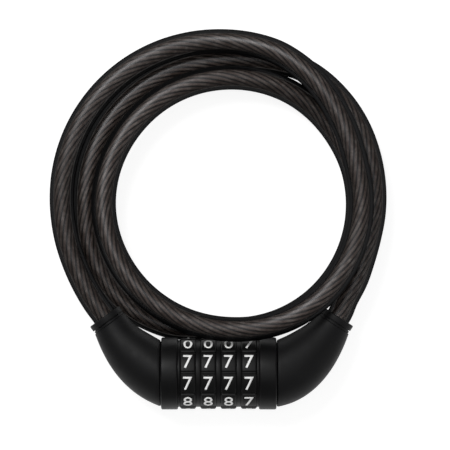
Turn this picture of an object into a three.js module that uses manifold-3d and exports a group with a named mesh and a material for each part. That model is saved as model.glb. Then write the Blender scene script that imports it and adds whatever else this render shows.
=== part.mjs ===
// A combination cable lock: a self-coiling armoured cable whose two ends are crimped into
// the halves of a four-dial barrel lock. Millimetres, +Z up, lying flat on its coil.
// The right half, the plug, pulls out along +X when the four code notches are in line.
import * as THREE from 'three';
import { mergeVertices } from 'three/addons/utils/BufferGeometryUtils.js';
import Module from 'manifold-3d';

const wasm = await Module();
wasm.setup();

// Driving dimensions
const GAP = 0.3;
const DIAL_COUNT = 4;
const DIAL_PITCH = 9.85;
const DIAL_WIDTH = 7.7;
const DIAL_RADIUS = 17.4;
const DIAL_BORE = 11.6;
const DIAL_BEVEL = 0.7;
const SPACER_WIDTH = 1.5;
const SPACER_RADIUS = 16.4;
const END_RING_WIDTH = 0.5;
const COLLAR_RADIUS = 17.65;
const COLLAR_BORE = 13.2;
const LEFT_COLLAR = { from: -27.9, to: -19.7 };
const RIGHT_COLLAR = { from: 19.7, to: 28.2 };
const COLLAR_BEVEL = 0.8;
const SLEEVE_RADIUS = 8;
const SLEEVE_BORE = 5;
const PIN_RADIUS = 4.6;
const PIN_REACH = 1;                              // how far the pin runs into the left collar
const PIN_SEAT = 3.7;                             // how far it is held in the right anchor
const SLEEVE_SEAT = 4.6;                          // how far the sleeve is held in the left anchor
const SEAT_ROOM = 0.4;
const TOOTH = { radius: 9.6, width: 2.6, length: 2.3, ahead: 3.7 };
const NOTCH = { radius: 9.95, width: 3.3 };
const CODE_DISC = { radius: 11.3, from: -1, to: 3.5 };
const CABLE_RADIUS = 6;
const SHEATH_BORE = 4.6;
const CORE_RADIUS = 4;
const GLAND_RADIUS = 8.8;
const GLAND_LENGTH = 4.4;
const BOOT_WALL = 1.5;
const BOOT_END_RADIUS = 8.9;
const FERRULE_RADIUS = 7.2;
const CABLE_GRIP = 13;                            // how far the cable reaches inside its gland
const ROUND_SIDES = 30;
const BOOT_SIDES = 20;
const SMALL_SIDES = 16;
const PIN_SIDES = 12;

// Where each cable end enters its gland, how far the gland tilts from the lock's axis, and its
// boot: the radius at the collar, then for its outer and inner outline how far and at what
// angle it leaves the collar, how far it runs straight into the gland and how far it leans there
const LEFT_END = {
  side: -1, x: -55.6, y: 27.9, tilt: 54, collar: LEFT_COLLAR.from, bootRadius: 16.1,
  outer: { lead: 25, rise: 19.7, trail: 5, lean: 11.7 }, inner: { lead: 13, rise: 30, trail: 8, lean: 0 },
};
const RIGHT_END = {
  side: 1, x: 58.4, y: 27.8, tilt: 57, collar: RIGHT_COLLAR.to, bootRadius: 16.3,
  outer: { lead: 25, rise: 9.3, trail: 5, lean: 12 }, inner: { lead: 8.6, rise: 21.5, trail: 3.9, lean: 0 },
};

// The coil, seen from above: an outer circle and a smaller one set off its centre
const COIL_X = -0.2;
const COIL_Y = 85.9;
const OUTER_RADIUS = 76.2;
const INNER_RADIUS = 62.1;
const INNER_SHIFT_X = 6.24;
const INNER_SHIFT_Y = -2.98;
const SPREAD = 18;                                // outward run of a mix of 1 past the outer circle
const COIL_STEP = 8;                              // degrees between the route's points
const CABLE_STEPS = 78;

// The cable's course, clockwise from the left boot: angle in degrees, mix between the inner
// circle (0) and the outer one (1), and height above the lock's axis
const COURSE = [
  [220, 1.16, 0], [205, 1.05, 0], [180, 1, 0], [135, 1, -1], [97, 1, -2], [71, 1, 3.4],
  [53, 0.84, 7.2], [30, 0.42, 10.2], [10, 0.12, 11.2], [-40, 0.12, 11.4], [-90, -0.12, 11.6],
  [-115, -0.1, 10.4], [-135, -0.07, 8.5], [-180, -0.01, 3.5], [-225, -0.03, 0], [-268, -0.03, -2.2],
  [-289, -0.02, -3.8], [-309, 0, -7], [-330, 0, -10.6], [-350, 0.05, -11.2], [-400, 0.1, -11.4],
  [-450, 0, -11.5], [-473, 0.42, -11.5], [-495, 0.6, -10.8], [-515, 0.56, -9.4], [-540, 0.46, -8.4],
  [-585, 0.48, -10.4], [-628, 0.5, -11.6], [-649, 0.7, -10.8], [-668, 0.98, -6.3], [-690, 1.02, -2],
  [-710, 1, 0], [-735, 1, 0], [-759, 1.21, 0],
];

// Surfaces
const surface = (color, roughness, metalness) => ({ color, roughness, metalness });
const RUBBER = surface(0x232326, 0.55, 0);
const HOUSING = surface(0x1e1e20, 0.42, 0);
const DIAL_PLASTIC = surface(0x18181a, 0.4, 0);
const STEEL = surface(0x9a9a98, 0.35, 1);
const SMOKED_VINYL = surface(0x4a4643, 0.12, 0);

const radians = THREE.MathUtils.degToRad;

// Revolves a [position along the axis, radius] profile about X, with a flat side facing down
function turned(profile, sides = ROUND_SIDES) {
  const points = profile.map(([along, radius]) => new THREE.Vector2(radius, along));
  return new THREE.LatheGeometry(points, sides).rotateZ(-Math.PI / 2).rotateX(Math.PI / sides);
}

// A turned tube between two places on the axis, its outer edges rounded off by bevel
function ring(from, to, bore, radius, bevel) {
  return turned([
    [from, bore], [from, radius - bevel], [from + bevel, radius], [to - bevel, radius],
    [to, radius - bevel], [to, bore], [from, bore],
  ]);
}

const rod = (from, to, radius, sides = SMALL_SIDES) =>
  turned([[from, 0], [from, radius], [to, radius], [to, 0]], sides);

// Moves a geometry made along X: frameAt gives the centre and sideways direction of each place
function carried(geometry, frameAt) {
  const position = geometry.attributes.position;
  const vertex = new THREE.Vector3();
  for (let i = 0; i < position.count; i++) {
    vertex.fromBufferAttribute(position, i);
    const { centre, sideways } = frameAt(vertex.x);
    centre.addScaledVector(sideways, vertex.y);
    position.setXYZ(i, centre.x, centre.y, vertex.z);
  }
  geometry.computeVertexNormals();
  return geometry;
}

// Moves a geometry made along X so that it runs along a flat curve instead
function bentAlong(geometry, curve) {
  const length = curve.getLength();
  return carried(geometry, (along) => {
    const nearest = THREE.MathUtils.clamp(along / length, 0, 1);
    const tangent = curve.getTangentAt(nearest);
    return {
      centre: curve.getPointAt(nearest).addScaledVector(tangent, along - nearest * length),
      sideways: new THREE.Vector3(0, 0, 1).cross(tangent),
    };
  });
}

// Closed geometry to a solid for cutting and joining, and back
function toSolid(geometry) {
  const bare = geometry.clone();
  bare.deleteAttribute('normal');
  bare.deleteAttribute('uv');
  const merged = mergeVertices(bare, 1e-4);
  return new wasm.Manifold(new wasm.Mesh({
    numProp: 3,
    vertProperties: new Float32Array(merged.attributes.position.array),
    triVerts: new Uint32Array(merged.index.array),
  }));
}

function toGeometry(solid) {
  const { vertProperties, triVerts } = solid.getMesh();
  const geometry = new THREE.BufferGeometry();
  geometry.setAttribute('position', new THREE.BufferAttribute(vertProperties, 3));
  geometry.setIndex(new THREE.BufferAttribute(triVerts, 1));
  geometry.computeVertexNormals();
  return geometry;
}

const lock = new THREE.Group();

function add(name, geometry, look) {
  const mesh = new THREE.Mesh(geometry, new THREE.MeshStandardMaterial(look));
  mesh.name = name;
  lock.add(mesh);
  return mesh;
}

// Points and directions at one end of the cable
const heading = (end, angle) => new THREE.Vector3(
  end.side * Math.cos(radians(angle)), Math.sin(radians(angle)), 0);
const outward = (end) => heading(end, end.tilt);
const mouth = (end) => new THREE.Vector3(end.x, end.y, 0);
const insideMouth = (end, depth) => mouth(end).addScaledVector(outward(end), -depth);

// Places a geometry made along X, from 0 inwards, on the gland's axis
function onGlandAxis(geometry, end) {
  const turn = new THREE.Quaternion().setFromUnitVectors(
    new THREE.Vector3(1, 0, 0), outward(end).negate());
  const place = new THREE.Matrix4().compose(mouth(end), turn, new THREE.Vector3(1, 1, 1));
  return geometry.applyMatrix4(place);
}

// The centreline of the arm inside an elbow, from its collar to the back of its gland
function elbow(end) {
  const lead = 11;
  const trail = 8;
  const start = new THREE.Vector3(end.collar + end.side * GAP, 0, 0);
  return new THREE.CubicBezierCurve3(
    start, start.clone().addScaledVector(heading(end, 0), lead),
    insideMouth(end, GLAND_LENGTH + GAP + trail), insideMouth(end, GLAND_LENGTH + GAP));
}

// One outline of a boot seen from above, from its collar to its gland
function bootOutline(end, bend, sign) {
  const from = new THREE.Vector3(end.collar + end.side * GAP, sign * end.bootRadius, 0);
  const to = insideMouth(end, GLAND_LENGTH + GAP)
    .addScaledVector(heading(end, end.tilt + 90), sign * BOOT_END_RADIUS);
  return new THREE.CubicBezierCurve3(
    from, from.clone().addScaledVector(heading(end, bend.rise), bend.lead),
    to.clone().addScaledVector(heading(end, end.tilt + bend.lean), -bend.trail), to);
}

// Moulded elbow cover: a shell of round rings that reach from one outline to the other
function boot(end) {
  const outer = bootOutline(end, end.outer, -1);
  const inner = bootOutline(end, end.inner, 1);
  const radiusAt = (t) => outer.getPoint(t).distanceTo(inner.getPoint(t)) / 2;
  const rings = 9;
  const lip = 0.015;
  const thinning = 0.3;
  const outside = [];
  const inside = [];
  for (let i = 0; i <= rings; i++) {
    const t = i / rings;
    outside.push([t, radiusAt(t)]);
    inside.unshift([Math.min(t, 1 - lip), radiusAt(t) - BOOT_WALL + thinning * t]);
  }
  const lipRadius = CABLE_RADIUS + GAP + 0.1;
  const profile = [...outside, [1, lipRadius], [1 - lip, lipRadius], ...inside, outside[0]];
  return carried(turned(profile, BOOT_SIDES), (t) => {
    const across = inner.getPoint(t).sub(outer.getPoint(t));
    return {
      centre: outer.getPoint(t).addScaledVector(across, 0.5),
      sideways: across.normalize().multiplyScalar(end.side),
    };
  });
}

// Flanged gland with a groove and a second, smaller ring behind the flange
function gland(end) {
  const bore = CABLE_RADIUS + GAP;
  const flange = 2.9;
  const groove = 0.4;
  const second = GLAND_RADIUS - 0.3;
  const neck = GLAND_RADIUS - 0.9;
  const chamfer = 0.5;
  return onGlandAxis(turned([
    [0, bore], [0, GLAND_RADIUS - chamfer], [chamfer, GLAND_RADIUS], [flange, GLAND_RADIUS], [flange, neck],
    [flange + groove, neck], [flange + groove, second], [GLAND_LENGTH, second],
    [GLAND_LENGTH, bore], [0, bore],
  ], BOOT_SIDES), end);
}

const FERRULE = { from: 5.5, floor: CABLE_GRIP + GAP, to: 15, stud: 21, studRadius: 2.6 };
const CROSS_PIN = { depth: 18, radius: 1.2, half: 5.6 };

// Crimped cup on the cable's end, with a stud that its anchor holds
function ferrule(end) {
  const bore = CABLE_RADIUS + GAP;
  return onGlandAxis(turned([
    [FERRULE.from, bore], [FERRULE.from, FERRULE_RADIUS], [FERRULE.to, FERRULE_RADIUS],
    [FERRULE.to, FERRULE.studRadius], [FERRULE.stud, FERRULE.studRadius], [FERRULE.stud, 0],
    [FERRULE.floor, 0], [FERRULE.floor, bore], [FERRULE.from, bore],
  ], SMALL_SIDES), end);
}

// Upright pin through an anchor and its ferrule's stud
function crossPin(end, radius, half) {
  const at = insideMouth(end, CROSS_PIN.depth);
  return rod(-half, half, radius, PIN_SIDES).rotateY(Math.PI / 2).translate(at.x, at.y, 0);
}

// Cast anchor: a disc inside the collar and an arm along the elbow that holds the ferrule
function anchor(end, seatRadius, seatDepth) {
  const curve = elbow(end);
  const collar = end.side < 0 ? LEFT_COLLAR : RIGHT_COLLAR;
  const plugLength = collar.to - collar.from;
  const armRadius = 6.6;
  const armStart = 3;
  const armEnd = curve.getLength() * 0.8;
  const bends = 6;
  const arm = [];
  for (let i = 0; i <= bends; i++) arm.push([armStart + (armEnd - armStart) * (i / bends), armRadius]);
  const body = bentAlong(turned([
    [-plugLength, 0], [-plugLength, COLLAR_BORE - GAP], [-GAP, COLLAR_BORE - GAP],
    ...arm, [armEnd, 0],
  ], SMALL_SIDES), curve);
  const face = curve.getPointAt(0).x - end.side * plugLength;
  const seatEnds = [face - end.side, face + end.side * seatDepth];
  const seat = rod(Math.min(...seatEnds), Math.max(...seatEnds), seatRadius, SMALL_SIDES);
  const room = onGlandAxis(rod(-2, FERRULE.to + GAP, 2 * armRadius), end);
  const stud = rod(FERRULE.to, FERRULE.stud + GAP, FERRULE.studRadius + GAP, PIN_SIDES);
  const studHole = onGlandAxis(stud, end);
  const pinHole = crossPin(end, CROSS_PIN.radius + GAP, armRadius + 2);
  return toGeometry([seat, room, studHole, pinHole]
    .reduce((solid, cut) => solid.subtract(toSolid(cut)), toSolid(body)));
}

function drilledFerrule(end) {
  const hole = toSolid(crossPin(end, CROSS_PIN.radius + GAP, CROSS_PIN.half));
  return toGeometry(toSolid(ferrule(end)).subtract(hole));
}

for (const [name, end] of [['left', LEFT_END], ['right', RIGHT_END]]) {
  const collar = end.side < 0 ? LEFT_COLLAR : RIGHT_COLLAR;
  const seat = end.side < 0
    ? [SLEEVE_RADIUS + GAP, SLEEVE_SEAT + SEAT_ROOM] : [PIN_RADIUS + GAP, PIN_SEAT + SEAT_ROOM];
  add(`${name}_boot`, boot(end), RUBBER);
  add(`${name}_gland`, gland(end), RUBBER);
  add(`${name}_collar`, ring(collar.from, collar.to, COLLAR_BORE, COLLAR_RADIUS, COLLAR_BEVEL), HOUSING);
  add(`${name}_anchor`, anchor(end, ...seat), STEEL);
  add(`${name}_ferrule`, drilledFerrule(end), STEEL);
  add(`${name}_cross_pin`, crossPin(end, CROSS_PIN.radius, CROSS_PIN.half), STEEL);
}

// A flat ring across the axis with a notch in its bore that lets the pin's teeth through
function notchedRing(from, to, radius) {
  const bore = SLEEVE_RADIUS + GAP;
  const halfNotch = NOTCH.width / 2;
  const edge = Math.asin(halfNotch / bore);
  const shape = new THREE.Shape().absarc(0, 0, radius, 0, Math.PI * 2, false);
  const hole = new THREE.Path().absarc(0, 0, bore, edge, Math.PI * 2 - edge, false);
  hole.lineTo(NOTCH.radius, -halfNotch);
  hole.lineTo(NOTCH.radius, halfNotch);
  hole.closePath();
  shape.holes.push(hole);
  return alongX(shape, from, to);
}

// Extrudes a shape drawn with its own X pointing down, from one place on the axis to another
function alongX(shape, from, to) {
  const options = { depth: to - from, bevelEnabled: false, curveSegments: 12 };
  return new THREE.ExtrudeGeometry(shape, options).rotateY(Math.PI / 2).translate(from, 0, 0);
}

// Slotted sleeve that carries the dials, open along its underside
function sleeve(from, to) {
  const halfSlot = NOTCH.width / 2;
  const outerEdge = Math.asin(halfSlot / SLEEVE_RADIUS);
  const innerEdge = Math.asin(halfSlot / SLEEVE_BORE);
  const shape = new THREE.Shape()
    .absarc(0, 0, SLEEVE_RADIUS, outerEdge, Math.PI * 2 - outerEdge, false)
    .absarc(0, 0, SLEEVE_BORE, Math.PI * 2 - innerEdge, innerEdge, true);
  shape.closePath();
  return alongX(shape, from, to);
}

const dialCentre = (index) => (index - (DIAL_COUNT - 1) / 2) * DIAL_PITCH;
const stackHalf = dialCentre(DIAL_COUNT - 1) + DIAL_WIDTH / 2;

// Pin with one tooth behind each code disc, standing down through the sleeve's slot
function toothedPin(from, to) {
  let solid = toSolid(rod(from, to, PIN_RADIUS));
  for (let i = 0; i < DIAL_COUNT; i++) {
    const tooth = new THREE.BoxGeometry(TOOTH.length, TOOTH.width, TOOTH.radius - 2);
    tooth.translate(dialCentre(i) - TOOTH.ahead + TOOTH.length / 2, 0, -(TOOTH.radius + 2) / 2);
    solid = solid.add(toSolid(tooth));
  }
  return toGeometry(solid);
}

for (let i = 0; i < DIAL_COUNT; i++) {
  const centre = dialCentre(i);
  const half = DIAL_WIDTH / 2;
  const wheel = ring(centre - half, centre + half, DIAL_BORE, DIAL_RADIUS, DIAL_BEVEL);
  const disc = notchedRing(centre + CODE_DISC.from, centre + CODE_DISC.to, CODE_DISC.radius);
  add(`number_wheel_${i + 1}`, wheel, DIAL_PLASTIC);
  add(`code_disc_${i + 1}`, disc, STEEL);
}
for (let i = 0; i < DIAL_COUNT - 1; i++) {
  const centre = dialCentre(i) + DIAL_PITCH / 2;
  const half = SPACER_WIDTH / 2;
  add(`spacer_ring_${i + 1}`, notchedRing(centre - half, centre + half, SPACER_RADIUS), HOUSING);
}
const endRing = stackHalf + GAP;
add('left_end_ring', notchedRing(-endRing - END_RING_WIDTH, -endRing, SPACER_RADIUS), HOUSING);
add('right_end_ring', notchedRing(endRing, endRing + END_RING_WIDTH, SPACER_RADIUS), HOUSING);
add('core_sleeve', sleeve(LEFT_COLLAR.to - SLEEVE_SEAT, endRing + END_RING_WIDTH), STEEL);
add('locking_pin', toothedPin(LEFT_COLLAR.to - PIN_REACH, RIGHT_COLLAR.from + PIN_SEAT), STEEL);

// One column of the course at an angle, joined up smoothly without overshoot
function courseAt(angle, column) {
  const last = COURSE.length - 1;
  const rise = (i) => (COURSE[i + 1][column] - COURSE[i][column]) / (COURSE[i][0] - COURSE[i + 1][0]);
  const slope = (i) => {
    if (i === 0) return rise(0);
    if (i === last) return rise(last - 1);
    const [before, after] = [rise(i - 1), rise(i)];
    return before * after <= 0 ? 0 : (2 * before * after) / (before + after);
  };
  let i = COURSE.findIndex(([stop]) => stop < angle) - 1;
  if (i < 0) i = last - 1;
  const span = COURSE[i][0] - COURSE[i + 1][0];
  const t = (COURSE[i][0] - angle) / span;
  return (2 * t ** 3 - 3 * t ** 2 + 1) * COURSE[i][column] + (t ** 3 - 2 * t ** 2 + t) * span * slope(i)
    + (3 * t ** 2 - 2 * t ** 3) * COURSE[i + 1][column] + (t ** 3 - t ** 2) * span * slope(i + 1);
}

function coilPoint(angle) {
  const shift = Math.hypot(INNER_SHIFT_X, INNER_SHIFT_Y);
  const away = radians(angle) - Math.atan2(INNER_SHIFT_Y, INNER_SHIFT_X);
  const inner = shift * Math.cos(away) + Math.sqrt(INNER_RADIUS ** 2 - (shift * Math.sin(away)) ** 2);
  const mix = courseAt(angle, 1);
  const radius = mix > 1 ? OUTER_RADIUS + (mix - 1) * SPREAD : inner + mix * (OUTER_RADIUS - inner);
  return new THREE.Vector3(COIL_X + radius * Math.cos(radians(angle)),
    COIL_Y + radius * Math.sin(radians(angle)), courseAt(angle, 2));
}

// The cable's centreline from inside one ferrule, round the coil, into the other
function cableRoute() {
  const points = [insideMouth(LEFT_END, CABLE_GRIP), insideMouth(LEFT_END, 5), insideMouth(LEFT_END, -2)];
  const [first, last] = [COURSE[0][0], COURSE[COURSE.length - 1][0]];
  const count = Math.round((first - last) / COIL_STEP);
  for (let i = 0; i <= count; i++) points.push(coilPoint(first + (last - first) * (i / count)));
  points.push(insideMouth(RIGHT_END, -2), insideMouth(RIGHT_END, 5), insideMouth(RIGHT_END, CABLE_GRIP));
  const curve = new THREE.CatmullRomCurve3(points, false, 'centripetal');
  curve.arcLengthDivisions = 2000;
  return curve;
}

// A round bar along the cable's route, with a bore if one is given
function alongCable(route, radius, sides, bore = 0, boreSides = 8) {
  const polygon = (size, count) => {
    const corners = [];
    for (let i = 0; i < count; i++) {
      const turn = (i / count) * Math.PI * 2;
      corners.push(new THREE.Vector2(size * Math.cos(turn), size * Math.sin(turn)));
    }
    return corners;
  };
  const shape = new THREE.Shape(polygon(radius, sides));
  if (bore) shape.holes.push(new THREE.Path(polygon(bore, boreSides)));
  return new THREE.ExtrudeGeometry(shape, { steps: CABLE_STEPS, extrudePath: route, bevelEnabled: false });
}

const route = cableRoute();
add('cable_sheath', alongCable(route, CABLE_RADIUS, 12, SHEATH_BORE), SMOKED_VINYL);
add('cable_core', alongCable(route, CORE_RADIUS, 8), STEEL);

// The origin: on the surface the lock lies on, under the middle of the lock without its cable
const head = new THREE.Box3();
for (const mesh of lock.children) {
  if (!mesh.name.startsWith('cable_')) head.expandByObject(mesh);
}
const middle = head.getCenter(new THREE.Vector3());
lock.position.set(-middle.x, -middle.y, COLLAR_RADIUS * Math.cos(Math.PI / ROUND_SIDES));

const scene = new THREE.Group();
scene.add(lock);
scene.updateMatrixWorld(true);
export default scene;
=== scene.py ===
"""A combination cable lock: a smoked self-coiling cable on a barrel of four number dials."""

import math

import bmesh
import bpy
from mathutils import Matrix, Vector


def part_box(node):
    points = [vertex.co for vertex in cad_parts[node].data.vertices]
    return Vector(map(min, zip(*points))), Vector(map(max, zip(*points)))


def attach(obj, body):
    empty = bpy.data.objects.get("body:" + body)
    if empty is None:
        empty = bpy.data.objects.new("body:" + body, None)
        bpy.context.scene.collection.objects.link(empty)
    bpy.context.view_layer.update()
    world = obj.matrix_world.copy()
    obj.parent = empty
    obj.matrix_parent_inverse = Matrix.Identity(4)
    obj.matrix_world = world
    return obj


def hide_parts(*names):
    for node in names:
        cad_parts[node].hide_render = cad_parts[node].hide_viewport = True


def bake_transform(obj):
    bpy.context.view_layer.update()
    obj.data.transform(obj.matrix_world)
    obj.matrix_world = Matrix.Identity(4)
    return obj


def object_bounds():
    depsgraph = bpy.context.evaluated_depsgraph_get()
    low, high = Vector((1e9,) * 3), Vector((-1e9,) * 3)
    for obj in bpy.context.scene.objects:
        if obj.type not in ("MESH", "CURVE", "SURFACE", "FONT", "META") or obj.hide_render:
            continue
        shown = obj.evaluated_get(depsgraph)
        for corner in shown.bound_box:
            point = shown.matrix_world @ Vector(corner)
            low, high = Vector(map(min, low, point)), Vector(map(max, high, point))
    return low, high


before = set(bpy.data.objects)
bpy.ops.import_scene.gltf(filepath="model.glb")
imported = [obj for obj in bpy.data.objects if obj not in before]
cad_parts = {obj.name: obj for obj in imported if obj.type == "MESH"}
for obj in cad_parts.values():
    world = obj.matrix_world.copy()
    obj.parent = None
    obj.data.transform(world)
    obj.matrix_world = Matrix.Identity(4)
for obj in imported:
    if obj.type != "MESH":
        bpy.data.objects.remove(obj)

CAD_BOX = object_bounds()

# Driving dimensions, in millimetres like the CAD's; everything is made in metres
MM = 0.001
GAP = 0.3  # between touching pieces

CABLE_RADIUS = 6.0
CABLE_GRIP = 13.0  # the cable's length held inside each end
CABLE_STEP = 2.4
ROPE_STRANDS = 10
STRAND_RADIUS = 0.94
STRAND_ORBIT = 3.06  # from the cable's middle to a strand's
ROPE_LAY = 72.0  # the length in which a strand goes once round
ROPE_STEP = 1.9

COLLAR_RADIUS = 17.55
COLLAR_BORE = 13.2
DIAL_COUNT = 4
DIAL_RADIUS = 17.3
DIAL_BORE = 11.6
DIAL_PHASE = math.radians(5.2)  # the dials rest a little past square
FIGURES = 10  # on each dial
FIGURE_HEIGHT = 6.7
FIGURE_PITCH = 2 * math.pi / FIGURES
SPACER_RADIUS = 16.3
SPACER_FILL = 0.29  # how far a spacer reaches into the gap on either side
SLEEVE_CLEARANCE = 8.3

GLAND_RADIUS = 8.75
GLAND_LENGTH = 4.4
BOOT_END_RADIUS = 8.9
BOOT_WALL = 1.5


def middle_of(node):
    """The middle of a CAD node's box, in metres."""
    low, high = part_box(node)
    return (Vector(low) + Vector(high)) / 2


AXIS_Y = middle_of("left_collar").y / MM
AXIS_Z = middle_of("left_collar").z / MM
STACK_X = (middle_of("number_wheel_1").x + middle_of(f"number_wheel_{DIAL_COUNT}").x) / 2 / MM

# Each end's gland and its boot: lead and rise of an outline at the collar, trail and lean at the gland
LEFT_END = {
    "side": -1, "x": -55.6, "y": 27.9, "tilt": 54, "collar": -27.9, "boot_radius": 16.1,
    "outer": {"lead": 25, "rise": 19.7, "trail": 5, "lean": 11.7},
    "inner": {"lead": 13, "rise": 30, "trail": 8, "lean": 0},
}
RIGHT_END = {
    "side": 1, "x": 58.4, "y": 27.8, "tilt": 57, "collar": 28.2, "boot_radius": 16.3,
    "outer": {"lead": 25, "rise": 9.3, "trail": 5, "lean": 12},
    "inner": {"lead": 8.6, "rise": 21.5, "trail": 3.9, "lean": 0},
}


def placed(point):
    """A point of the lock, measured in mm from the middle of its dials, in the row frame."""
    return Vector((point[0] + STACK_X, point[1] + AXIS_Y, point[2] + AXIS_Z)) * MM


# Camera: straight down on the coil, with a long lens, in metres
VIEW_WIDTH = 0.2195  # at the height of the lock's axis
CAMERA_HEIGHT = 1.15
VIEW_SHIFT = Vector((0.0034, -0.0027, 0))  # of the view's middle from the object's
SENSOR_WIDTH = 36.0


def place_camera():
    """Straight above the lock, with a lens that spans VIEW_WIDTH at the height of the housing's middle."""
    low, high = (Vector(corner) for corner in CAD_BOX)
    middle = (low + high) / 2 + VIEW_SHIFT
    camera = bpy.data.objects.new("camera", bpy.data.cameras.new("camera"))
    camera.data.sensor_width = SENSOR_WIDTH
    camera.data.lens = SENSOR_WIDTH * (CAMERA_HEIGHT - AXIS_Z * MM) / VIEW_WIDTH
    camera.location = (middle.x, middle.y, CAMERA_HEIGHT)
    bpy.context.scene.collection.objects.link(camera)
    bpy.context.scene.camera = camera


place_camera()


# ---------------------------------------------------------------- materials

def new_material(name):
    """An empty material and its node tree."""
    material = bpy.data.materials.new(name)
    material.use_nodes = True
    tree = material.node_tree
    tree.nodes.clear()
    return material, tree


def node(tree, kind, **values):
    """Adds a node. A value whose key is a socket's name is set on the socket, any other on the node."""
    made = tree.nodes.new(kind)
    for key, value in values.items():
        if key in made.inputs:
            made.inputs[key].default_value = value
        else:
            setattr(made, key, value)
    return made


def ramp(tree, source, stops):
    """A colour ramp from a list of (position, grey or colour)."""
    made = tree.nodes.new("ShaderNodeValToRGB")
    elements = made.color_ramp.elements
    while len(elements) < len(stops):
        elements.new(0.5)
    for element, (position, colour) in zip(elements, stops):
        element.position = position
        shade = (colour, colour, colour) if isinstance(colour, float) else colour
        element.color = (*shade, 1)
    tree.links.new(source, made.inputs["Fac"])
    return made.outputs["Color"]


def noise(tree, scale, detail=4.0, roughness=0.55, stretch=None):
    """Noise on the object's own coordinates, in metres, stretched if asked."""
    coordinates = node(tree, "ShaderNodeTexCoord").outputs["Object"]
    if stretch:
        mapping = node(tree, "ShaderNodeMapping", Scale=stretch)
        tree.links.new(coordinates, mapping.inputs["Vector"])
        coordinates = mapping.outputs["Vector"]
    made = node(tree, "ShaderNodeTexNoise", Scale=scale, Detail=detail, Roughness=roughness)
    tree.links.new(coordinates, made.inputs["Vector"])
    return made.outputs["Fac"]


def multiplied(tree, colour, shade, amount):
    """One colour darkened by another."""
    made = node(tree, "ShaderNodeMixRGB", blend_type="MULTIPLY")
    made.inputs["Fac"].default_value = amount
    tree.links.new(colour, made.inputs[1])
    tree.links.new(shade, made.inputs[2])
    return made.outputs["Color"]


def mixed_shader(tree, share, under, over):
    """Two shaders mixed by the share of the second."""
    made = node(tree, "ShaderNodeMixShader")
    tree.links.new(share, made.inputs[0])
    tree.links.new(under.outputs[0], made.inputs[1])
    tree.links.new(over.outputs[0], made.inputs[2])
    return made


def finish_surface(tree, shader, height=None, bump=0.1, distance=0.0001):
    """Joins a shader to the output, with relief from a height if one is given."""
    if height is not None:
        relief = node(tree, "ShaderNodeBump", Strength=bump, Distance=distance)
        tree.links.new(height, relief.inputs["Height"])
        tree.links.new(relief.outputs["Normal"], shader.inputs["Normal"])
    output = node(tree, "ShaderNodeOutputMaterial")
    tree.links.new(shader.outputs[0], output.inputs["Surface"])


def moulded(name, dark, light, smooth, rough, grain, bump, shine):
    """Moulded plastic or rubber: slight clouding, uneven sheen and a fine spark-eroded grain."""
    material, tree = new_material(name)
    shader = node(tree, "ShaderNodeBsdfPrincipled")
    shader.inputs["Specular IOR Level"].default_value = shine
    clouds = noise(tree, 55, 5)
    tree.links.new(ramp(tree, clouds, [(0.3, dark), (0.7, light)]), shader.inputs["Base Color"])
    sheen = noise(tree, 160, 3)
    tree.links.new(ramp(tree, sheen, [(0.25, smooth), (0.75, rough)]), shader.inputs["Roughness"])
    finish_surface(tree, shader, noise(tree, grain, 2, 0.7), bump)
    return material


def machined(name, dark, light, stretch):
    """Plated steel with fine tool marks."""
    material, tree = new_material(name)
    shader = node(tree, "ShaderNodeBsdfPrincipled", Metallic=1.0)
    marks = noise(tree, 900, 4, 0.6, stretch)
    tree.links.new(ramp(tree, marks, [(0.3, dark), (0.7, light)]), shader.inputs["Base Color"])
    tree.links.new(ramp(tree, marks, [(0.2, 0.28), (0.8, 0.42)]), shader.inputs["Roughness"])
    finish_surface(tree, shader, marks, 0.12)
    return material


def smoked_vinyl():
    """Clear vinyl with a smoke tint, near black where the eye looks along the wall, softly glossy."""
    material, tree = new_material("smoked vinyl")
    edge = node(tree, "ShaderNodeLayerWeight", Blend=0.5).outputs["Facing"]

    clear = node(tree, "ShaderNodeBsdfTransparent")
    tint = ramp(tree, edge, [(0.0, (0.64, 0.61, 0.60)), (0.17, (0.52, 0.50, 0.49)),
                             (0.33, (0.10, 0.10, 0.10)), (0.45, (0.012, 0.012, 0.013))])
    tree.links.new(tint, clear.inputs["Color"])

    haze = node(tree, "ShaderNodeBsdfPrincipled", Roughness=0.34)
    haze.inputs["Specular IOR Level"].default_value = 0.0
    streaks = ramp(tree, noise(tree, 70, 4, 0.5),
                   [(0.3, (0.003, 0.003, 0.0032)), (0.7, (0.006, 0.006, 0.0063))])
    tree.links.new(streaks, haze.inputs["Base Color"])

    gloss = node(tree, "ShaderNodeBsdfGlossy", Roughness=0.36)
    gloss.inputs["Color"].default_value = (0.9, 0.9, 0.92, 1)
    ripple = node(tree, "ShaderNodeBump", Strength=0.05, Distance=0.0002)
    tree.links.new(noise(tree, 120, 2), ripple.inputs["Height"])
    tree.links.new(ripple.outputs["Normal"], gloss.inputs["Normal"])

    haze_share = ramp(tree, edge, [(0.0, 0.12), (0.2, 0.2), (0.42, 0.8), (1.0, 0.97)])
    gloss_share = ramp(tree, edge, [(0.0, 0.026), (0.35, 0.018), (0.6, 0.008), (1.0, 0.010)])
    body = mixed_shader(tree, haze_share, clear, haze)
    finish_surface(tree, mixed_shader(tree, gloss_share, body, gloss))
    return material


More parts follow.
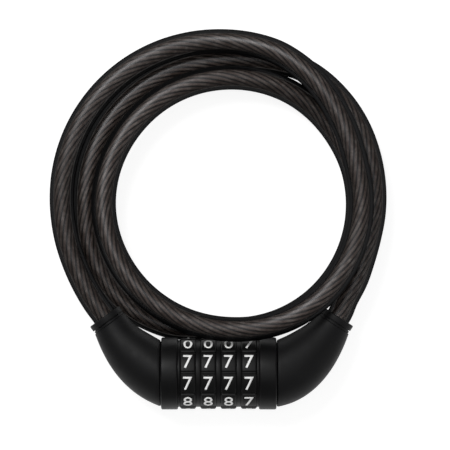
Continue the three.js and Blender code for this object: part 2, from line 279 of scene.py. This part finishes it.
def wire():
    """Bare stranded wire: fine wires wound along each strand, brown in patches, with painted shade between
    the strands and a painted highlight along their crowns.
    """
    material, tree = new_material("wire rope")
    shader = node(tree, "ShaderNodeBsdfPrincipled", Metallic=0.2)
    shader.inputs["Specular IOR Level"].default_value = 0.3

    lay = node(tree, "ShaderNodeUVMap", uv_map="along").outputs["UV"]
    wires = node(tree, "ShaderNodeTexWave", Scale=0.9, Distortion=0.5, Detail=2.0)
    wires.bands_direction = "DIAGONAL"
    tree.links.new(lay, wires.inputs["Vector"])
    grooves = ramp(tree, wires.outputs["Fac"], [(0.0, (0.45, 0.42, 0.40)), (0.55, (1.0, 1.0, 1.0))])

    patches = noise(tree, 240, 4, 0.6)
    colour = ramp(tree, patches, [(0.35, (0.17, 0.13, 0.11)), (0.52, (0.26, 0.22, 0.20)),
                                  (0.68, (0.42, 0.39, 0.37))])
    crown = node(tree, "ShaderNodeAttribute", attribute_name="crown").outputs["Fac"]
    # Painted shade and highlight: each strand darkened towards where it meets its neighbours and brightened
    # along its crown
    painted_furrow_shade = ramp(tree, crown, [(0.45, 0.12), (0.92, 1.3)])
    colour = multiplied(tree, multiplied(tree, colour, grooves, 0.6), painted_furrow_shade, 1.0)
    tree.links.new(colour, shader.inputs["Base Color"])
    tree.links.new(ramp(tree, patches, [(0.3, 0.62), (0.7, 0.5)]), shader.inputs["Roughness"])
    finish_surface(tree, shader, wires.outputs["Fac"], 0.5, 0.0002)
    return material


RUBBER = moulded("boot rubber", dark=(0.0035, 0.0035, 0.0038), light=(0.0058, 0.0058, 0.0062),
                 smooth=0.50, rough=0.62, grain=2600, bump=0.10, shine=0.16)
HOUSING = moulded("housing plastic", dark=(0.0025, 0.0025, 0.0027), light=(0.0042, 0.0042, 0.0044),
                  smooth=0.40, rough=0.50, grain=2200, bump=0.06, shine=0.15)
DIAL_PLASTIC = moulded("dial plastic", dark=(0.0028, 0.0028, 0.0029), light=(0.0045, 0.0045, 0.0046),
                       smooth=0.38, rough=0.50, grain=2400, bump=0.06, shine=0.16)
NUMERAL_PAINT = moulded("numeral paint", dark=(0.86, 0.86, 0.85), light=(0.94, 0.94, 0.93),
                        smooth=0.40, rough=0.55, grain=3000, bump=0.04, shine=0.4)
STEEL = machined("blackened steel", dark=(0.05, 0.05, 0.05), light=(0.11, 0.11, 0.11), stretch=(1, 6, 6))
CAST = machined("cast alloy", dark=(0.20, 0.20, 0.20), light=(0.34, 0.34, 0.33), stretch=(1, 1, 1))
VINYL = smoked_vinyl()
WIRE = wire()


# ---------------------------------------------------------------- shape helpers

def mesh_piece(name, vertices, faces, material, slot, body=None, replaces=(), smooth_angle=35):
    """A mesh object from points in metres in the row frame, riding on a body if one is given."""
    mesh = bpy.data.meshes.new(name)
    mesh.from_pydata([tuple(v) for v in vertices], [], faces)
    mesh.materials.append(material)
    piece = bpy.data.objects.new(name, mesh)
    bpy.context.scene.collection.objects.link(piece)
    mesh.shade_smooth()
    mesh.set_sharp_from_angle(angle=math.radians(smooth_angle))
    if body:
        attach(piece, body)
    if replaces:
        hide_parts(*replaces)
    return piece


def looped_faces(rings, sides):
    """Faces of a closed skin made of rings of vertices, the last of them joined to the first."""
    faces = []
    for j in range(rings):
        k = (j + 1) % rings
        for i in range(sides):
            n = (i + 1) % sides
            faces.append((j * sides + i, k * sides + i, k * sides + n, j * sides + n))
    return faces


def turned(profile, sides, groove=None):
    """Revolves a closed [(along, radius)] profile about X. groove(angle) is a depth cut in the rim."""
    vertices = []
    rim = 0.8 * max(radius for _, radius in profile)
    for along, radius in profile:
        for i in range(sides):
            angle = 2 * math.pi * i / sides
            cut = radius - (groove(angle) if groove and radius > rim else 0)
            vertices.append(Vector((along, cut * math.sin(angle), cut * math.cos(angle))))
    return vertices, looped_faces(len(profile), sides)


def rounded(corners, steps=4):
    """A closed profile from corners (along, radius, round-off), each rounded by a curve of that size."""
    profile = []
    for index, (along, radius, size) in enumerate(corners):
        here = Vector((along, radius))
        if not size:
            profile.append(tuple(here))
            continue
        before = (Vector(corners[index - 1][:2]) - here).normalized()
        after = (Vector(corners[(index + 1) % len(corners)][:2]) - here).normalized()
        for i in range(steps + 1):
            t = i / steps
            start, end = here + before * size, here + after * size
            profile.append(tuple(start.lerp(here, t).lerp(here.lerp(end, t), t)))
    return profile


def bezier(points, t):
    """The place at t on a cubic with four control points."""
    a, b, c, d = points
    s = 1 - t
    return a * s ** 3 + b * 3 * s * s * t + c * 3 * s * t * t + d * t ** 3


def heading(end, angle):
    """The direction at an angle up from straight out of the barrel, towards one end."""
    return Vector((end["side"] * math.cos(math.radians(angle)), math.sin(math.radians(angle)), 0))


def outward(end):
    """The direction in which the cable leaves an end."""
    return heading(end, end["tilt"])


def inside_mouth(end, depth):
    """A point on the gland's axis, a depth in from its mouth."""
    return Vector((end["x"], end["y"], 0)) - outward(end) * depth


# ---------------------------------------------------------------- the cable's route

COIL_X = -0.2
COIL_Y = 85.9
OUTER_RADIUS = 76.2
INNER_RADIUS = 62.1
INNER_SHIFT = Vector((6.24, -2.98))  # of the inner circle's middle from the outer one's
SPREAD = 18.0  # how far past the outer circle a mix of 2 would be
COIL_STEP = 8

# The cable's course, clockwise from the left boot: angle in degrees, mix between the inner
# circle (0) and the outer one (1), and height above the lock's axis
COURSE = [
    (220, 1.16, 0), (205, 1.05, 0), (180, 1, 0), (135, 1, -1), (97, 1, -2), (71, 1, 3.4),
    (53, 0.84, 7.2), (30, 0.42, 10.2), (10, 0.12, 11.2), (-40, 0.12, 11.4), (-90, -0.12, 11.6),
    (-115, -0.1, 10.4), (-135, -0.07, 8.5), (-180, -0.01, 3.5), (-225, -0.03, 0), (-268, -0.03, -2.2),
    (-289, -0.02, -3.8), (-309, 0, -7), (-330, 0, -10.6), (-350, 0.05, -11.2), (-400, 0.1, -11.4),
    (-450, 0, -11.5), (-473, 0.42, -11.5), (-495, 0.6, -10.8), (-515, 0.56, -9.4), (-540, 0.46, -8.4),
    (-585, 0.48, -10.4), (-628, 0.5, -11.6), (-649, 0.7, -10.8), (-668, 0.98, -6.3), (-690, 1.02, -2),
    (-710, 1, 0), (-735, 1, 0), (-759, 1.21, 0),
]


def course_at(angle, column):
    """One column of the course at an angle, joined up smoothly without overshoot."""
    last = len(COURSE) - 1

    def rise(i):
        """Slope of the straight line from entry i to the next."""
        return (COURSE[i + 1][column] - COURSE[i][column]) / (COURSE[i][0] - COURSE[i + 1][0])

    def slope(i):
        """Slope of the smooth curve at entry i."""
        if i == 0:
            return rise(0)
        if i == last:
            return rise(last - 1)
        before, after = rise(i - 1), rise(i)
        return 0 if before * after <= 0 else 2 * before * after / (before + after)

    i = next((k for k in range(1, last + 1) if COURSE[k][0] < angle), last) - 1
    span = COURSE[i][0] - COURSE[i + 1][0]
    t = (COURSE[i][0] - angle) / span
    return ((2 * t ** 3 - 3 * t ** 2 + 1) * COURSE[i][column] + (t ** 3 - 2 * t ** 2 + t) * span * slope(i)
            + (3 * t ** 2 - 2 * t ** 3) * COURSE[i + 1][column] + (t ** 3 - t ** 2) * span * slope(i + 1))


def coil_point(angle):
    """The cable's centreline at an angle of the course, in mm from the middle of the dials."""
    turn = math.radians(angle)
    away = turn - math.atan2(INNER_SHIFT.y, INNER_SHIFT.x)
    shift = INNER_SHIFT.length
    inner = shift * math.cos(away) + math.sqrt(INNER_RADIUS ** 2 - (shift * math.sin(away)) ** 2)
    mix = course_at(angle, 1)
    radius = OUTER_RADIUS + (mix - 1) * SPREAD if mix > 1 else inner + mix * (OUTER_RADIUS - inner)
    return Vector((COIL_X + radius * math.cos(turn), COIL_Y + radius * math.sin(turn), course_at(angle, 2)))


def smooth_through(points, between):
    """A centripetal Catmull-Rom curve through points, with a number of steps between each two."""
    ends = [points[0] * 2 - points[1], *points, points[-1] * 2 - points[-2]]
    curve = []
    for p0, p1, p2, p3 in zip(ends, ends[1:], ends[2:], ends[3:]):
        d0, d1, d2 = ((b - a).length ** 0.5 for a, b in ((p0, p1), (p1, p2), (p2, p3)))
        m1 = ((p1 - p0) / d0 - (p2 - p0) / (d0 + d1) + (p2 - p1) / d1) * d1
        m2 = ((p2 - p1) / d1 - (p3 - p1) / (d1 + d2) + (p3 - p2) / d2) * d1
        for i in range(between):
            t = i / between
            curve.append(p1 * (2 * t ** 3 - 3 * t ** 2 + 1) + m1 * (t ** 3 - 2 * t ** 2 + t)
                         + p2 * (3 * t ** 2 - 2 * t ** 3) + m2 * (t ** 3 - t ** 2))
    curve.append(points[-1])
    return curve


def evenly(points, spacing):
    """Points along a polyline at about equal steps."""
    travelled = [0.0]
    for a, b in zip(points, points[1:]):
        travelled.append(travelled[-1] + (b - a).length)
    count = round(travelled[-1] / spacing)
    result = []
    j = 0
    for i in range(count + 1):
        want = travelled[-1] * i / count
        while j < len(points) - 2 and travelled[j + 1] < want:
            j += 1
        share = (want - travelled[j]) / (travelled[j + 1] - travelled[j])
        result.append(points[j].lerp(points[j + 1], share))
    return result


def cable_route():
    """The cable's centreline from inside one ferrule, round the coil, into the other."""
    first, last = COURSE[0][0], COURSE[-1][0]
    count = round((first - last) / COIL_STEP)
    points = [inside_mouth(LEFT_END, depth) for depth in (CABLE_GRIP, 5, -2)]
    points += [coil_point(first + (last - first) * i / count) for i in range(count + 1)]
    points += [inside_mouth(RIGHT_END, depth) for depth in (-2, 5, CABLE_GRIP)]
    return [placed(point) for point in smooth_through(points, 12)]


def carried_frames(path):
    """Two directions across the path at each of its points, carried along it without twisting."""
    across = Vector((0, 0, 1))
    frames = []
    for i in range(len(path)):
        along = (path[min(i + 1, len(path) - 1)] - path[max(i - 1, 0)]).normalized()
        across = (across - along * across.dot(along)).normalized()
        frames.append((across.copy(), along.cross(across)))
    return frames


def swept(path, radius, sides):
    """A closed round bar along a path. Returns vertices and faces."""
    vertices = []
    for point, (up, side) in zip(path, carried_frames(path)):
        for i in range(sides):
            angle = 2 * math.pi * i / sides
            vertices.append(point + (up * math.cos(angle) + side * math.sin(angle)) * radius)
    faces = []
    for j in range(len(path) - 1):
        for i in range(sides):
            n = (i + 1) % sides
            faces.append((j * sides + i, j * sides + n, (j + 1) * sides + n, (j + 1) * sides + i))
    faces.append(tuple(reversed(range(sides))))
    faces.append(tuple(range(len(vertices) - sides, len(vertices))))
    return vertices, faces


def wound_strands(route):
    """The rope's strands as one mesh, with each vertex's place on its strand and on the rope's crown.

    The place is a length along the strand and a side of it. The crown is 1 at a strand's outermost
    line and -1 at its innermost; the wire rope's material paints shade between strands and a highlight
    along crowns from it.
    """
    sides = 7
    unit = 4 * MM
    path = evenly(route, ROPE_STEP * MM)
    frames = carried_frames(path)
    step = (path[1] - path[0]).length
    vertices, faces, places, crowns = [], [], [], []
    for strand in range(ROPE_STRANDS):
        wound = []
        for i, (point, (up, side)) in enumerate(zip(path, frames)):
            angle = 2 * math.pi * (strand / ROPE_STRANDS + i * step / (ROPE_LAY * MM))
            wound.append(point + (up * math.cos(angle) + side * math.sin(angle)) * STRAND_ORBIT * MM)
        bar, skin = swept(wound, STRAND_RADIUS * MM, sides)
        faces += [tuple(index + len(vertices) for index in face) for face in skin]
        vertices += bar
        for i, vertex in enumerate(bar):
            away = (vertex - path[i // sides]).length / MM
            places.append((i // sides * step / unit, i % sides))
            crowns.append((away - STRAND_ORBIT) / STRAND_RADIUS)
    return vertices, faces, places, crowns


def rope(route):
    """The twisted wire rope inside the sheath."""
    vertices, faces, places, crowns = wound_strands(route)
    piece = mesh_piece("wire_rope", vertices, faces, WIRE, "wire_rope",
                       replaces=["cable_core"], smooth_angle=60)
    layer = piece.data.uv_layers.new(name="along")
    for loop in piece.data.loops:
        layer.data[loop.index].uv = places[loop.vertex_index]
    # The crown, which the wire rope's material uses to paint shade between strands and a highlight along
    # crowns
    crown = piece.data.attributes.new("crown", "FLOAT", "POINT")
    crown.data.foreach_set("value", crowns)
    return piece


def cable():
    """Sheath and wire rope on one route, stretching between the two halves of the lock."""
    route = cable_route()
    path = evenly(route, CABLE_STEP * MM)
    sheath = mesh_piece("sheath", *swept(path, CABLE_RADIUS * MM, 32), VINYL, "smoked_vinyl",
                        replaces=["cable_sheath"], smooth_angle=60)
    wire_rope = rope(route)
    for piece in (sheath, wire_rope):
        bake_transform(piece)


cable()


# ---------------------------------------------------------------- the ends of the lock

def boot_outline(end, bend, sign):
    """One outline of a boot seen from above, from its collar to its gland."""
    start = Vector((end["collar"] + end["side"] * GAP, sign * end["boot_radius"], 0))
    stop = inside_mouth(end, GLAND_LENGTH) + heading(end, end["tilt"] + 90) * sign * BOOT_END_RADIUS
    return (start, start + heading(end, bend["rise"]) * bend["lead"],
            stop - heading(end, end["tilt"] + bend["lean"]) * bend["trail"], stop)


def boot(end, name, body):
    """Moulded elbow: a shell of round rings from one outline to the other, with softened rims."""
    outer = boot_outline(end, end["outer"], -1)
    inner = boot_outline(end, end["inner"], 1)
    rings = 36
    sides = 72
    softening = 0.4
    rim = 0.012  # the share of the boot's length that is softened at each end
    lip = 0.985  # where the wall turns in to the cable
    cable_hole = CABLE_RADIUS + 0.4

    def radius_at(t):
        """Half the width between the two outlines, rounded off near both rims."""
        radius = (bezier(outer, t) - bezier(inner, t)).length / 2
        near_rim = max(0, 1 - min(t, 1 - t) / rim)
        return radius - softening * near_rim ** 2

    steps = [0, rim / 4, rim / 2, *(rim + (1 - 2 * rim) * i / rings for i in range(rings + 1)),
             1 - rim / 2, 1 - rim / 4, 1]
    profile = [(t, radius_at(t)) for t in steps]
    profile += [(1, cable_hole), (lip, cable_hole)]
    profile += [(min(t, lip), radius_at(t) - BOOT_WALL) for t in reversed(steps)]
    vertices = []
    for t, radius in profile:
        low, high = bezier(outer, t), bezier(inner, t)
        across = (high - low).normalized() * end["side"]
        for i in range(sides):
            angle = 2 * math.pi * i / sides
            spoke = across * math.sin(angle) + Vector((0, 0, math.cos(angle)))
            vertices.append(placed((low + high) / 2 + spoke * radius))
    mesh_piece(f"{name}_elbow", vertices, looped_faces(len(profile), sides), RUBBER, "boot_rubber",
               body, [f"{name}_boot"])


def gland(end, name, body):
    """Flange, groove and second ring where the cable goes in."""
    bore = CABLE_RADIUS + 0.3
    neck = GLAND_RADIUS - 0.9
    second = GLAND_RADIUS - 0.3
    flange_end, groove_end = 2.9, 3.3
    corners = [
        (0, bore, 0.2), (0, GLAND_RADIUS, 0.6), (flange_end, GLAND_RADIUS, 0.25), (flange_end, neck, 0),
        (groove_end, neck, 0), (groove_end, second, 0.25), (GLAND_LENGTH, second, 0.25),
        (GLAND_LENGTH, bore, 0),
    ]
    vertices, faces = turned(rounded(corners), 72)
    inward = -outward(end)
    sideways = Vector((0, 0, 1)).cross(inward)
    mouth = inside_mouth(end, 0)
    moved = [placed(mouth + inward * v.x + sideways * v.y + Vector((0, 0, v.z))) for v in vertices]
    mesh_piece(f"{name}_entry_ring", moved, faces, RUBBER, "boot_rubber", body, [f"{name}_gland"])


def span_of(node_name):
    """Where a ring's CAD node starts and ends along the barrel, in mm from the middle of the dials."""
    return [corner[0] / MM - STACK_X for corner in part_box(node_name)]


def collar(name, body):
    """Housing ring with rounded edges."""
    low, high = span_of(f"{name}_collar")
    edge = 0.9
    corners = [
        (low, COLLAR_BORE, 0), (low, COLLAR_RADIUS, edge),
        (high, COLLAR_RADIUS, edge), (high, COLLAR_BORE, 0),
    ]
    vertices, faces = turned(rounded(corners, 6), 96)
    mesh_piece(f"{name}_housing_ring", [placed(v) for v in vertices], faces, HOUSING, "housing", body,
               [f"{name}_collar"])


for side_name, end, body_name in (("left", LEFT_END, "lock_body"), ("right", RIGHT_END, "plug")):
    boot(end, side_name, body_name)
    gland(end, side_name, body_name)
    collar(side_name, body_name)


# ---------------------------------------------------------------- dials and their figures

def number_groove(angle):
    """Depth of the grooves between the figures, one every tenth of a turn."""
    depth = 0.55
    half_width = 0.75
    offset = (angle - DIAL_PHASE + FIGURE_PITCH / 2) % FIGURE_PITCH - FIGURE_PITCH / 2
    across = abs(offset) * DIAL_RADIUS
    return depth * max(0.0, 1 - (across / half_width) ** 4)


def wheel(index):
    """A dial with bevelled edges and grooves between its figures. Returns the middle of its width."""
    low, high = span_of(f"number_wheel_{index}")
    shoulder = DIAL_RADIUS - 0.6
    bevel = 0.7
    corners = [
        (low, DIAL_BORE, 0), (low, shoulder, 0.25), (low + bevel, DIAL_RADIUS, 0.3),
        (high - bevel, DIAL_RADIUS, 0.3), (high, shoulder, 0.25), (high, DIAL_BORE, 0),
    ]
    vertices, faces = turned(rounded(corners, 3), 360, number_groove)
    mesh_piece(f"dial_{index}_ring", [placed(v) for v in vertices], faces, DIAL_PLASTIC, "dial_plastic",
               f"dial_{index}", [f"number_wheel_{index}"], smooth_angle=30)
    return (low + high) / 2


def flat_figure(text):
    """The outline of a figure in the built-in typeface, a little bolder, as a flat mesh."""
    curve = bpy.data.curves.new("figure", "FONT")
    curve.body = text
    curve.size = 1.0
    curve.offset = 0.004
    curve.align_x = "CENTER"
    curve.resolution_u = 5
    holder = bpy.data.objects.new("figure", curve)
    bpy.context.scene.collection.objects.link(holder)
    bpy.context.view_layer.update()
    flat = bpy.data.meshes.new_from_object(holder.evaluated_get(bpy.context.evaluated_depsgraph_get()))
    bpy.data.objects.remove(holder)
    shape = bmesh.new()
    shape.from_mesh(flat)
    bpy.data.meshes.remove(flat)
    return shape


def banded_figure(text):
    """A figure at its real height, centred, and cut into bands so that it can be wrapped."""
    widening = 1.03
    bands = 12
    shape = flat_figure(text)
    low = min(v.co.y for v in shape.verts)
    high = max(v.co.y for v in shape.verts)
    left = min(v.co.x for v in shape.verts)
    right = max(v.co.x for v in shape.verts)
    scale = FIGURE_HEIGHT / (high - low)
    for v in shape.verts:
        v.co.x = (v.co.x - (left + right) / 2) * scale * widening
        v.co.y = (v.co.y - (low + high) / 2) * scale
    for i in range(1, bands):
        parts = shape.verts[:] + shape.edges[:] + shape.faces[:]
        at = (0, FIGURE_HEIGHT * (i / bands - 0.5), 0)
        bmesh.ops.bisect_plane(shape, geom=parts, plane_co=at, plane_no=(0, 1, 0))
    return shape


def wrapped_figure(name, text, centre, angle, body):
    """A figure inlaid on a dial, its middle at an angle up from the side that faces +Z."""
    shape = banded_figure(text)
    radius = DIAL_RADIUS + 0.03
    inlay_depth = 0.12
    for v in shape.verts:
        turn = angle + v.co.y / DIAL_RADIUS
        v.co = placed((centre + v.co.x, radius * math.sin(turn), radius * math.cos(turn)))
    mesh = bpy.data.meshes.new(name)
    shape.to_mesh(mesh)
    shape.free()
    mesh.materials.append(NUMERAL_PAINT)
    figure = bpy.data.objects.new(name, mesh)
    bpy.context.scene.collection.objects.link(figure)
    thickness = figure.modifiers.new("inlay", "SOLIDIFY")
    thickness.thickness = inlay_depth * MM
    thickness.offset = -1
    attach(figure, body)


# Figures in order up the dial from the one just below the front groove
THREE_ALIKE = "7701234568"
LAST_DIAL = "7770123457"

for dial in range(1, DIAL_COUNT + 1):
    wheel_centre = wheel(dial)
    order = THREE_ALIKE if dial < DIAL_COUNT else LAST_DIAL
    for place, text in enumerate(order):
        around = DIAL_PHASE + FIGURE_PITCH * (place - 0.5)
        wrapped_figure(f"figure_{dial}_{place}", text, wheel_centre, around, f"dial_{dial}")


def plain_ring(node_name):
    """A fixed ring beside a dial, filling most of the gap on either side of it."""
    low, high = span_of(node_name)
    low, high = low - SPACER_FILL, high + SPACER_FILL
    corners = [
        (low, SLEEVE_CLEARANCE, 0), (low, SPACER_RADIUS, 0.1),
        (high, SPACER_RADIUS, 0.1), (high, SLEEVE_CLEARANCE, 0),
    ]
    vertices, faces = turned(rounded(corners, 2), 96)
    mesh_piece(f"{node_name}_face", [placed(v) for v in vertices], faces, HOUSING, "housing", "lock_body",
               [node_name])


for number in range(1, DIAL_COUNT):
    plain_ring(f"spacer_ring_{number}")
plain_ring("left_end_ring")
plain_ring("right_end_ring")


# ---------------------------------------------------------------- inner works kept from the CAD

def dress(node_name, material):
    """Gives a CAD node's object a finished material in place of its own."""
    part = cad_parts[node_name]
    part.data.materials.clear()
    part.data.materials.append(material)


for part_name in ("core_sleeve", "locking_pin", *(f"code_disc_{i + 1}" for i in range(DIAL_COUNT))):
    dress(part_name, STEEL)
for side_name in ("left", "right"):
    dress(f"{side_name}_anchor", CAST)
    dress(f"{side_name}_ferrule", STEEL)
    dress(f"{side_name}_cross_pin", STEEL)


# ---------------------------------------------------------------- floor, light

def floor():
    """A pale, evenly lit sheet that the lock lies on, in metres."""
    half = 1.6
    clearance = 0.0002
    material, tree = new_material("floor")
    shader = node(tree, "ShaderNodeBsdfPrincipled", Roughness=0.9)
    tone = ramp(tree, noise(tree, 8), [(0.3, (0.30, 0.30, 0.30)), (0.7, (0.32, 0.32, 0.32))])
    tree.links.new(tone, shader.inputs["Base Color"])
    shader.inputs["Emission Color"].default_value = (1, 1, 1, 1)
    shader.inputs["Emission Strength"].default_value = 0.86
    finish_surface(tree, shader)
    corners = [(-half, -half, 0), (half, -half, 0), (half, half, 0), (-half, half, 0)]
    mesh = bpy.data.meshes.new("floor")
    mesh.from_pydata(corners, [], [(0, 1, 2, 3)])
    mesh.materials.append(material)
    ground = bpy.data.objects.new("floor", mesh)
    bpy.context.scene.collection.objects.link(ground)
    ground.location.z = -clearance


def soft_light(name, place, power, size):
    """A round area light aimed at the lock: place and size in metres, power in watts."""
    aim = Vector((0, 0.05, 0.02))
    lamp = bpy.data.lights.new(name, "AREA")
    lamp.shape = "DISK"
    lamp.size = size
    lamp.energy = power
    light = bpy.data.objects.new(name, lamp)
    light.location = place
    light.rotation_euler = (aim - Vector(place)).to_track_quat("-Z", "Y").to_euler()
    bpy.context.scene.collection.objects.link(light)


def studio_world():
    """Even white light from all round."""
    world = bpy.data.worlds.new("studio")
    world.use_nodes = True
    background = world.node_tree.nodes["Background"]
    background.inputs["Color"].default_value = (1, 1, 1, 1)
    background.inputs["Strength"].default_value = 0.22
    bpy.context.scene.world = world


floor()
soft_light("key", (-0.35, 0.6, 1.0), power=9.0, size=0.5)
soft_light("top", (0.05, 0.1, 1.5), power=3.0, size=0.9)
soft_light("fill", (0.9, -0.3, 0.6), power=1.0, size=0.6)
studio_world()
bpy.context.scene.view_settings.view_transform = "Standard"
